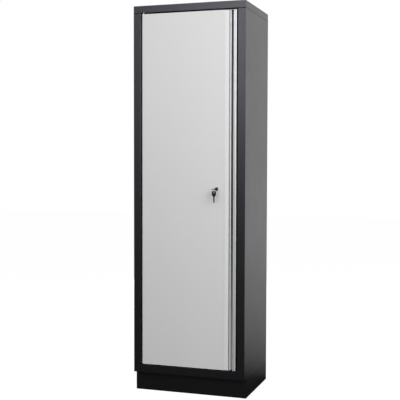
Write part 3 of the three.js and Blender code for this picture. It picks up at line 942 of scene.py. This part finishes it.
# along: axis the blade runs on; towards: which way its tip points; flat: axis across its faces
def makeBlade(node, along, towards, flat, spec):
    low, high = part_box(node)
    middle = (low + high) / 2
    tip = high[along] if towards > 0 else low[along]
    shape = copyOf(node)
    land, foot = spec["land"], spec["land"] + spec["slope"]
    spots = {}
    for place, depth in spec["cuts"]:
        spots.update({place - land: depth, place + land: depth, place - foot: 0, place + foot: 0})
    spots[spec["tip"]] = 0
    spots[spec["channelEnd"]] = 0
    sliceAt(shape, along, *[tip - towards * spot * mm for spot in spots])
    channelLow, channelHigh = (middle.x + reach * mm for reach in spec["channel"])
    wall, slack = spec["channelWall"] * mm, spec["slack"] * mm
    sliceAt(shape, axisX, channelLow - wall, channelLow, channelHigh, channelHigh + wall)
    for v in shape.verts:
        fromTip = (tip - v.co[along]) * towards / mm
        fromMiddle = v.co[flat] - middle[flat]
        inChannel = (channelLow - slack < v.co.x < channelHigh + slack
                     and fromTip < spec["channelEnd"] - spec["endSlack"])
        if inChannel and abs(fromMiddle) > spec["faceReach"] * mm:
            v.co[flat] -= math.copysign(spec["channelDeep"] * mm, fromMiddle)
        if v.co.x < low.x + slack:
            for spot, depth in spots.items():
                if abs(fromTip - spot) < spec["slack"]:
                    v.co.x += depth * mm
        if fromTip < spec["tip"]:
            share = spec["tipShare"] + (1 - spec["tipShare"]) * fromTip / spec["tip"]
            v.co.x = middle.x + (v.co.x - middle.x) * share
    roundAll(shape, spec["rim"], 1, spec["rimAngle"])
    put(shape, node + "_made", bodyOf(node), "dark_nickel", [node])


makeBlade("key_blade", axisY, 1, axisZ, keyBlade)
makeBlade("spare_key_blade", axisZ, -1, axisY, keyBlade)

keyBow = {"rim": 0.7 * mm, "steps": 3, "border": 1.3 * mm, "slope": 0.25 * mm, "sunk": 0.35 * mm}
for node, flat in (("key_bow", axisZ), ("spare_key_bow", axisY)):
    low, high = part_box(node)
    shape = copyOf(node)
    for side, level in ((-1, low[flat]), (1, high[flat])):
        panel = facesAt(shape, flat, side, level)
        sinkFaces(shape, panel, keyBow["border"], 0.0)
        sinkFaces(shape, panel, keyBow["slope"], keyBow["sunk"])
    roundAll(shape, keyBow["rim"], keyBow["steps"])
    put(shape, node + "_made", bodyOf(node), "black_plastic", [node])

splitRing = {
    "wireHalf": 0.42 * mm, "wireTall": 0.78 * mm, "wireSides": 10, "clear": 0.1 * mm,
    "pitch": 0.9 * mm, "turnSteps": 44, "turns": 1.94,
}


def makeRing(spec):
    low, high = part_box("key_ring")
    middle = (low + high) / 2
    radius = (high.z - low.z) / 2 - spec["wireTall"] - spec["clear"]
    shape = bmesh.new()
    wire = bmesh.ops.create_circle(shape, cap_ends=False, segments=spec["wireSides"], radius=1.0)["verts"]
    for v in wire:
        v.co = Vector((v.co.x * spec["wireHalf"], 0, v.co.y * spec["wireTall"]))
    shift = spec["pitch"] * spec["turns"] / 2
    bmesh.ops.translate(shape, verts=wire, vec=(middle.x - shift / 2, middle.y, middle.z + radius))
    steps = int(spec["turnSteps"] * spec["turns"])
    bmesh.ops.spin(
        shape, geom=list(shape.verts) + list(shape.edges), cent=middle, axis=(1, 0, 0),
        dvec=(shift / steps, 0, 0), angle=math.tau * spec["turns"], steps=steps,
        use_merge=False, use_duplicate=False)
    bmesh.ops.holes_fill(shape, edges=[e for e in shape.edges if e.is_boundary], sides=0)
    bmesh.ops.recalc_face_normals(shape, faces=shape.faces)
    put(shape, "key_ring_wire", "key_ring", "zinc_steel", ["key_ring"])


makeRing(splitRing)
print("keys made")


# Studio: white to the camera; reflections see a dark floor near the locker and a dim room in front

studio = {
    "floorHalf": 14.0,
    "shadeInset": 6 * mm,
    "nearFloor": colour(0.03, 0.03, 0.03),
    "farFloor": colour(0.90, 0.90, 0.90),
    "sweepStart": 0.3,
    "sweepEnd": 8.0,
    "sweepBend": 0.6,
    "floorGlow": 0.86,
    "glowStrength": 1.1,
    "floorCells": 4,
    "shadeRoughness": 0.9,
    "skyDiffuse": 0.33,
    "frontRoom": 1.30,
    "frontFall": 0.40,
    "frontRise": 3.6,
    "frontSlant": 1.2,
}


def makeFloor(spec):
    cells = spec["floorCells"]
    shape = bmesh.new()
    bmesh.ops.create_grid(shape, x_segments=cells, y_segments=cells, size=spec["floorHalf"])
    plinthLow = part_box("kick_plate")[0]
    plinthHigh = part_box("rear_plinth_rail")[1]
    inset = spec["shadeInset"]
    sliceAt(shape, axisX, plinthLow.x + inset, plinthHigh.x - inset)
    sliceAt(shape, axisY, plinthLow.y + inset, plinthHigh.y - inset)
    for face in shape.faces:
        middle = face.calc_center_median()
        if plinthLow.x < middle.x < plinthHigh.x and plinthLow.y < middle.y < plinthHigh.y:
            face.material_index = 1
    mesh = bpy.data.meshes.new("studio_floor")
    shape.to_mesh(mesh)
    shape.free()
    floor = bpy.data.objects.new("studio_floor", mesh)
    scene.collection.objects.link(floor)
    material = bpy.data.materials.new("studio_floor")
    mesh.materials.append(material)
    s = ShaderSheet(material)
    seen, mirrored, through = s.rays()
    back = s.part(s.place(), "Y")
    span = spec["sweepEnd"] - spec["sweepStart"]
    sweep = s.clamped(back - spec["sweepStart"], 1 / span) ** spec["sweepBend"]
    matt = s.node("ShaderNodeBsdfDiffuse", {}, {
        "Color": s.blend(sweep, spec["nearFloor"], spec["farFloor"])})
    pale = s.node("ShaderNodeBsdfDiffuse", {}, {"Color": spec["farFloor"]})
    glow = s.node("ShaderNodeEmission", {}, {"Color": colour(1, 1, 1), "Strength": spec["glowStrength"]})
    white = s.node("ShaderNodeMixShader", {}, {0: spec["floorGlow"], 1: pale, 2: glow})
    shown = seen + (mirrored + through) * sweep
    both = s.node("ShaderNodeMixShader", {}, {0: shown, 1: matt, 2: white})
    s.node("ShaderNodeOutputMaterial", {}, {"Surface": both})
    shaded = bpy.data.materials.new("studio_floor_shaded")  # inside the plinth no glow
    mesh.materials.append(shaded)
    s = ShaderSheet(shaded)
    s.surface(Base_Color=spec["nearFloor"], Roughness=spec["shadeRoughness"])


makeFloor(studio)


# White behind and above; towards the front the room is dim near the horizon
def makeSurroundings(spec):
    world = bpy.data.worlds.new("studio")
    scene.world = world
    s = ShaderSheet(world)
    seen, mirrored, through = s.rays()
    facing = s.node("ShaderNodeTexCoord", {}, {}, "Generated")
    depth, rise, across = (s.part(facing, letter) for letter in "YZX")
    room = (spec["frontRoom"] + depth * spec["frontFall"] + rise * spec["frontRise"]
            + across * spec["frontSlant"])
    shade = s.clamped(room, 1.0)
    hidden = 1 - (seen + mirrored + through)
    strength = seen + (mirrored + through) * shade + hidden * spec["skyDiffuse"]
    sky = s.node("ShaderNodeBackground", {}, {"Color": colour(1, 1, 1), "Strength": strength})
    s.node("ShaderNodeOutputWorld", {}, {"Surface": sky})


makeSurroundings(studio)

# Soft lamps from the front right, the front and low behind the left
lamps = {
    "key_lamp": {"place": (2.8, -3.0, 2.4), "aim": (0.0, -0.2, 0.9), "size": 3.0, "watts": 158.0},
    "front_lamp": {"place": (-0.3, -4.6, 2.9), "aim": (0.0, -0.2, 1.2), "size": 2.4, "watts": 84.0},
    "rear_lamp": {"place": (-2.4, 3.4, 1.1), "aim": (0.0, 0.2, 1.1), "size": 2.0, "watts": 150.0},
}
for name, spec in lamps.items():
    data = bpy.data.lights.new(name, "AREA")
    data.shape = "SQUARE"
    data.size = spec["size"]
    data.energy = spec["watts"]
    lamp = bpy.data.objects.new(name, data)
    scene.collection.objects.link(lamp)
    aim = Vector(spec["aim"]) - Vector(spec["place"])
    turn = aim.to_track_quat("-Z", "Y").to_matrix().to_4x4()
    lamp.matrix_world = Matrix.Translation(spec["place"]) @ turn
print("studio made")
